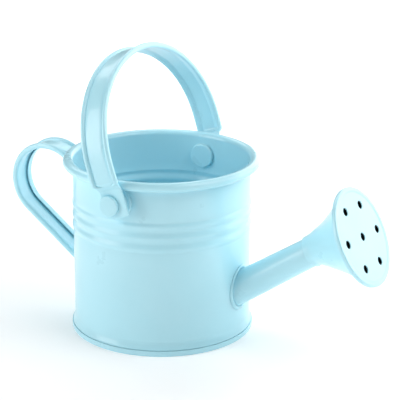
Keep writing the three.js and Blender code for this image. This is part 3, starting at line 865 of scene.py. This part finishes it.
class CAN_OT_rose(Operator):
    """Flared cone and the perforated plate crimped over its rim"""

    bl_idname = "wateringcan.rose"
    bl_label = "Rose"

    def execute(self, context):
        can, spout = settings("body", "spout")
        paint = enamel("spout enamel")
        tube, rose = sloping(spout.rise), sloping(spout.rose_tilt)
        neck = Vector((can.radius, 0, spout.root_height)) + tube * spout.length
        bend = neck + tube * spout.neck_length
        rim = Vector(spout.rose_face) - rose * (can.sheet + GAP)

        across, sides = Vector((0, 1, 0)), 128

        def ring(centre, axis, radius):
            up = axis.cross(across)
            turns = [2 * pi * i / sides for i in range(sides)]
            return [centre + (across * cos(t) + up * sin(t)) * radius for t in turns]

        rows = []
        for along, grown in ((0, -0.3), (0.08, -0.1), (0.3, 0), (1.5, 0.02), (2.6, 0.08)):
            rows.append((neck + tube * along * MM, tube, spout.neck_radius + grown * MM))
        steps = 30
        for i in range(steps + 1):
            t = i / steps
            grown = (1 - spout.flare) * t + spout.flare * t * t
            # The cone leaves the neck softly.
            soft = grown * (1 - 0.5 * (1 - min(t * 6, 1)) ** 2)
            axis = tube.lerp(rose, min(3 * t, 1)).normalized()
            radius = spout.neck_radius + 0.15 * MM + (spout.cone_radius - spout.neck_radius - 0.15 * MM) * soft
            rows.append((bend.lerp(rim, t), axis, radius))
        outside = [ring(*row) for row in rows]
        inside = [ring(centre, axis, radius - can.sheet) for centre, axis, radius in rows[::-1]]
        cone = skin("rose_cone_sheet", outside + inside, looped=True)
        finish_piece(cone, "can", "rose_cone", paint, ROUND_CRISP)
        # The cone's inside faces are coloured near black as painted shade
        paint_shade_inside(cone, len(outside) * sides)

        sheet = can.sheet
        edge = spout.plate_radius - sheet / 2
        low = -sheet / 2 - 0.32 * MM
        line = [(0, low), (edge * 0.45, low), (edge - spout.border - 0.9 * MM, low)]
        line += eased([(edge - spout.border - 0.3 * MM, low), (edge - spout.border + 0.4 * MM, -sheet / 2),
                       (edge - 0.7 * MM, -sheet / 2)], 0.5 * MM)
        line += arc((edge - 0.6 * MM, -sheet / 2 - 0.6 * MM), (0.6 * MM, 0.6 * MM), pi / 2, 0, 6)
        line += [(edge, -1.6 * MM), (edge - 0.15 * MM, -2.2 * MM)]
        plate = lathe("rose_plate_sheet", sheet_outline(line, sheet), sides)
        run_tree(plate, spray_tree(paint), {
            "Hole Count": spout.hole_count, "Hole Radius": spout.hole_radius, "Ring Radius": spout.hole_ring,
            "Ring Turn": spout.hole_turn + pi / 2, "Face Height": low + sheet / 2 - 0.26 * MM})
        plate.data.transform(Matrix.Translation(spout.rose_face) @ Matrix.Rotation(pi / 2 - spout.rose_tilt, 4, "Y"))
        finish_piece(plate, "can", "rose_plate", paint, 40)
        return {"FINISHED"}


class CAN_OT_studio(Operator):
    """Pale floor, soft lights and the camera"""

    bl_idname = "wateringcan.studio"
    bl_label = "Studio"

    def execute(self, context):
        studio, scene = context.scene.can_studio, context.scene
        mesh = bmesh.new()
        bmesh.ops.create_grid(mesh, x_segments=1, y_segments=1, size=12.0)
        data = bpy.data.meshes.new("floor")
        mesh.to_mesh(data)
        mesh.free()
        floor = bpy.data.objects.new("floor", data)
        scene.collection.objects.link(floor)
        paper, tree, shader, place = new_material(
            "white paper", Base_Color=(*studio.floor, 1), Roughness=0.9, Specular_IOR_Level=0.1,
            Emission_Color=(1, 1, 1, 1))
        # Far from the can the paper glows up to white, so the surroundings stay pale from every side.
        add = partial(add_node, tree)
        away = add("ShaderNodeVectorMath", {0: place}, operation="LENGTH").outputs["Value"]
        glow = add("ShaderNodeMapRange", {
            "Value": away, "From Min": 0.35, "From Max": 1.3, "To Min": studio.floor_glow, "To Max": 1.0})
        tree.links.new(glow.outputs[0], shader.inputs["Emission Strength"])
        data.materials.append(paper)

        world = bpy.data.worlds.new("studio")
        scene.world = world
        world.use_nodes = True
        backdrop = world.node_tree.nodes["Background"]
        backdrop.inputs["Color"].default_value = (1, 1, 1, 1)
        backdrop.inputs["Strength"].default_value = studio.ambient

        def softbox(name, turn, rise, power):
            """A lamp panel that looks at the can from a direction given in degrees"""
            light = bpy.data.lights.new(name, "AREA")
            light.shape = "RECTANGLE"
            light.size, light.size_y = 0.7, 0.8
            light.energy = power
            turn, rise = radians(turn), radians(rise)
            away = Vector((cos(turn) * cos(rise), sin(turn) * cos(rise), sin(rise)))
            made = bpy.data.objects.new(name, light)
            made.location = away * studio.reach + LAMP_AIM
            made.rotation_euler = away.to_track_quat("Z", "Y").to_euler()
            scene.collection.objects.link(made)

        softbox("front left softbox", 225, 22, studio.front)
        softbox("back right softbox", 45, 22, studio.side)
        softbox("right softbox", 0, 50, studio.key)
        softbox("back softbox", 90, 22, studio.back)
        softbox("back left softbox", 135, 50, studio.back)

        back = Vector((sin(studio.azimuth) * cos(studio.elevation),
                       -cos(studio.azimuth) * cos(studio.elevation), sin(studio.elevation))).normalized()
        right = Vector((cos(studio.azimuth), sin(studio.azimuth), 0))
        up = back.cross(right)
        camera = bpy.data.objects.new("camera", bpy.data.cameras.new("camera"))
        camera.data.lens = studio.lens
        camera.data.sensor_width = 36
        turned = Matrix((right, up, back)).transposed() @ Matrix.Rotation(studio.roll, 3, "Z")
        camera.matrix_world = Matrix.Translation(
            CAMERA_AIM + back * studio.distance + right * studio.slide_right + up * studio.slide_up
        ) @ turned.to_4x4()
        scene.collection.objects.link(camera)
        scene.camera = camera
        scene.view_settings.view_transform = "Standard"
        return {"FINISHED"}


class CAN_PT_panel(Panel):
    """Lists the pieces of the watering can"""

    bl_idname = "CAN_PT_panel"
    bl_label = "Watering Can"
    bl_space_type = "VIEW_3D"
    bl_region_type = "UI"
    bl_category = "Watering Can"

    def draw(self, context):
        for operator in OPERATORS:
            self.layout.operator(operator.bl_idname)
        for name in GROUPS:
            group = getattr(context.scene, name)
            box = self.layout.box()
            for key in group.bl_rna.properties.keys():
                if key not in {"rna_type", "name"}:
                    box.prop(group, key)


GROUPS = {
    "can_body": CanBodySizes,
    "can_strap": StrapSizes,
    "can_bail": BailSizes,
    "can_rear_handle": RearHandleSizes,
    "can_spout": SpoutSizes,
    "can_enamel": EnamelLook,
    "can_studio": StudioLook,
}
OPERATORS = [CAN_OT_body_wall, CAN_OT_base_panel, CAN_OT_pivots, CAN_OT_bail, CAN_OT_rear_handle, CAN_OT_spout,
             CAN_OT_rose, CAN_OT_studio]


def register():
    """Registers the settings, the operators and the panel"""
    for cls in (*GROUPS.values(), *OPERATORS, CAN_PT_panel):
        bpy.utils.register_class(cls)
    for name, cls in GROUPS.items():
        setattr(bpy.types.Scene, name, PointerProperty(type=cls))


def unregister():
    """Removes what register added"""
    for name in GROUPS:
        delattr(bpy.types.Scene, name)
    for cls in (CAN_PT_panel, *OPERATORS, *GROUPS.values()):
        bpy.utils.unregister_class(cls)


def main():
    """Builds every piece and the studio"""
    register()
    for operator in OPERATORS:
        module, name = operator.bl_idname.split(".")
        getattr(getattr(bpy.ops, module), name)()


if __name__ == "__main__":
    main()
